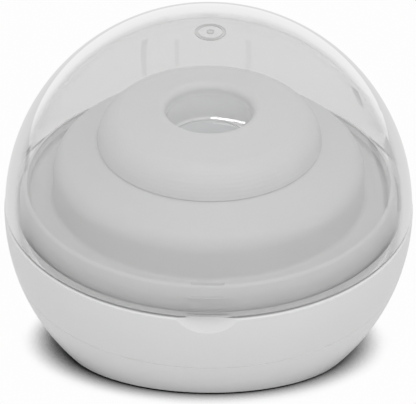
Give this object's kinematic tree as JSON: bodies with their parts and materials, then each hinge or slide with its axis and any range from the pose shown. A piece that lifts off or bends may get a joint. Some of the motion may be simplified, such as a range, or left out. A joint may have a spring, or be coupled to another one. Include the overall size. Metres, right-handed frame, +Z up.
{
  "type": "pacifier sterilizer case",
  "caption": "Ball-shaped pacifier sterilizer case with a clear dome lid hinged at the back, a white base with a leaning seam, and a round seat with a lamp well under the dome.",
  "frame": {"origin": "middle of the foot pad's underside, on the table", "axes": "+Z up from the table, -Y towards the user (finger scoop and catch), +Y towards the lid's hinge, X along the hinge pin"},
  "size_m": [0.085, 0.0874, 0.0731],
  "materials": {
    "shell_white": "glossy white moulded plastic",
    "tray_white": "smooth white moulded plastic",
    "seat_white": "smooth white moulded plastic",
    "dome_clear": "clear polished plastic",
    "lens_quartz": "clear polished quartz",
    "holder_white": "plain white plastic",
    "plug_white": "plain off-white plastic",
    "pad_rubber": "matte grey rubber",
    "seal_silicone": "soft grey silicone",
    "foam_black": "soft black foam tape",
    "screw_steel": "plated steel",
    "socket_steel": "bright steel sheet",
    "magnet_nickel": "nickel plating",
    "lamp_aluminium": "white-coated aluminium board",
    "lamp_package": "ceramic package with a clear cap",
    "board_green": "green lacquered circuit board",
    "chip_black": "black moulding compound",
    "cell_foil": "silver laminate pouch"
  },
  "bodies": {
    "base": {"base_shell": "shell_white", "bottom_cover": "shell_white", "foot_pad": "pad_rubber", "inner_tray": "tray_white", "tray_screws": "screw_steel", "pacifier_seat": "seat_white", "lens_seal": "seal_silicone", "well_lens": "lens_quartz", "lamp_holder": "holder_white", "holder_screws": "screw_steel", "lamp_board": "lamp_aluminium", "uv_lamp": "lamp_package", "sensor_board": "board_green", "lid_sensor": "chip_black", "main_board": "board_green", "controller_chip": "chip_black", "board_plugs": "plug_white", "board_screws": "screw_steel", "usb_shell": "socket_steel", "usb_tongue": "chip_black", "battery_cell": "cell_foil", "battery_foam": "foam_black", "cover_screws": "screw_steel", "hinge_pin": "screw_steel"},
    "lid": {"lid_dome": "dome_clear", "lid_magnet": "magnet_nickel"}
  },
  "joints": [
    {"name": "lid_hinge", "type": "hinge", "parent": "base", "child": "lid", "pos_m": [0, 0.04316, 0.04319], "axis": [-1, 0, 0], "range_deg": [0, 100]}
  ]
}
